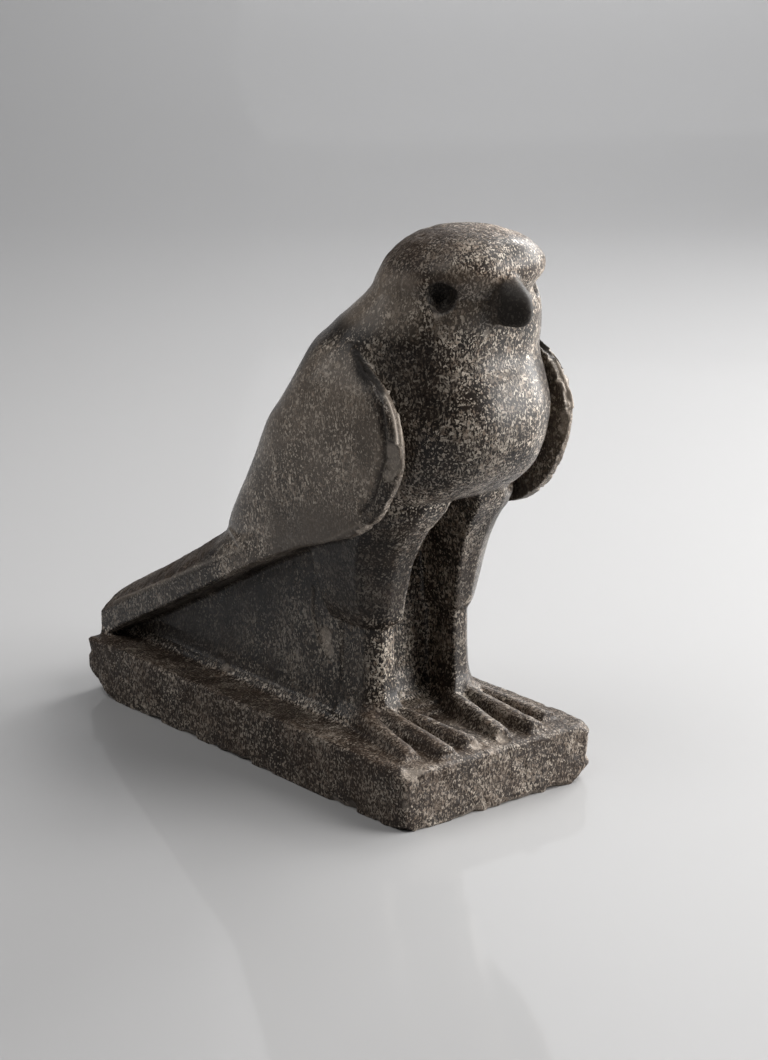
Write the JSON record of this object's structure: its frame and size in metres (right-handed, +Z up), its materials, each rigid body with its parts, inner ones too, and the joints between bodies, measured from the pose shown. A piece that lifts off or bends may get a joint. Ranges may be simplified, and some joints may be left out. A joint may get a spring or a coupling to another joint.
{
  "type": "falcon statuette",
  "caption": "Standing falcon with folded wings and a long tail, carved together with its plinth in speckled porphyry.",
  "frame": {"origin": "middle of the plinth's underside", "axes": "+Z up, the falcon faces -Y, its left wing is towards +X"},
  "size_m": [0.097, 0.2325, 0.2287],
  "materials": {
    "porphyry": "polished on breast and wings, pecked on crown, tail and plinth"
  },
  "bodies": {
    "root": {"falcon_statuette": "porphyry"}
  },
  "joints": []
}
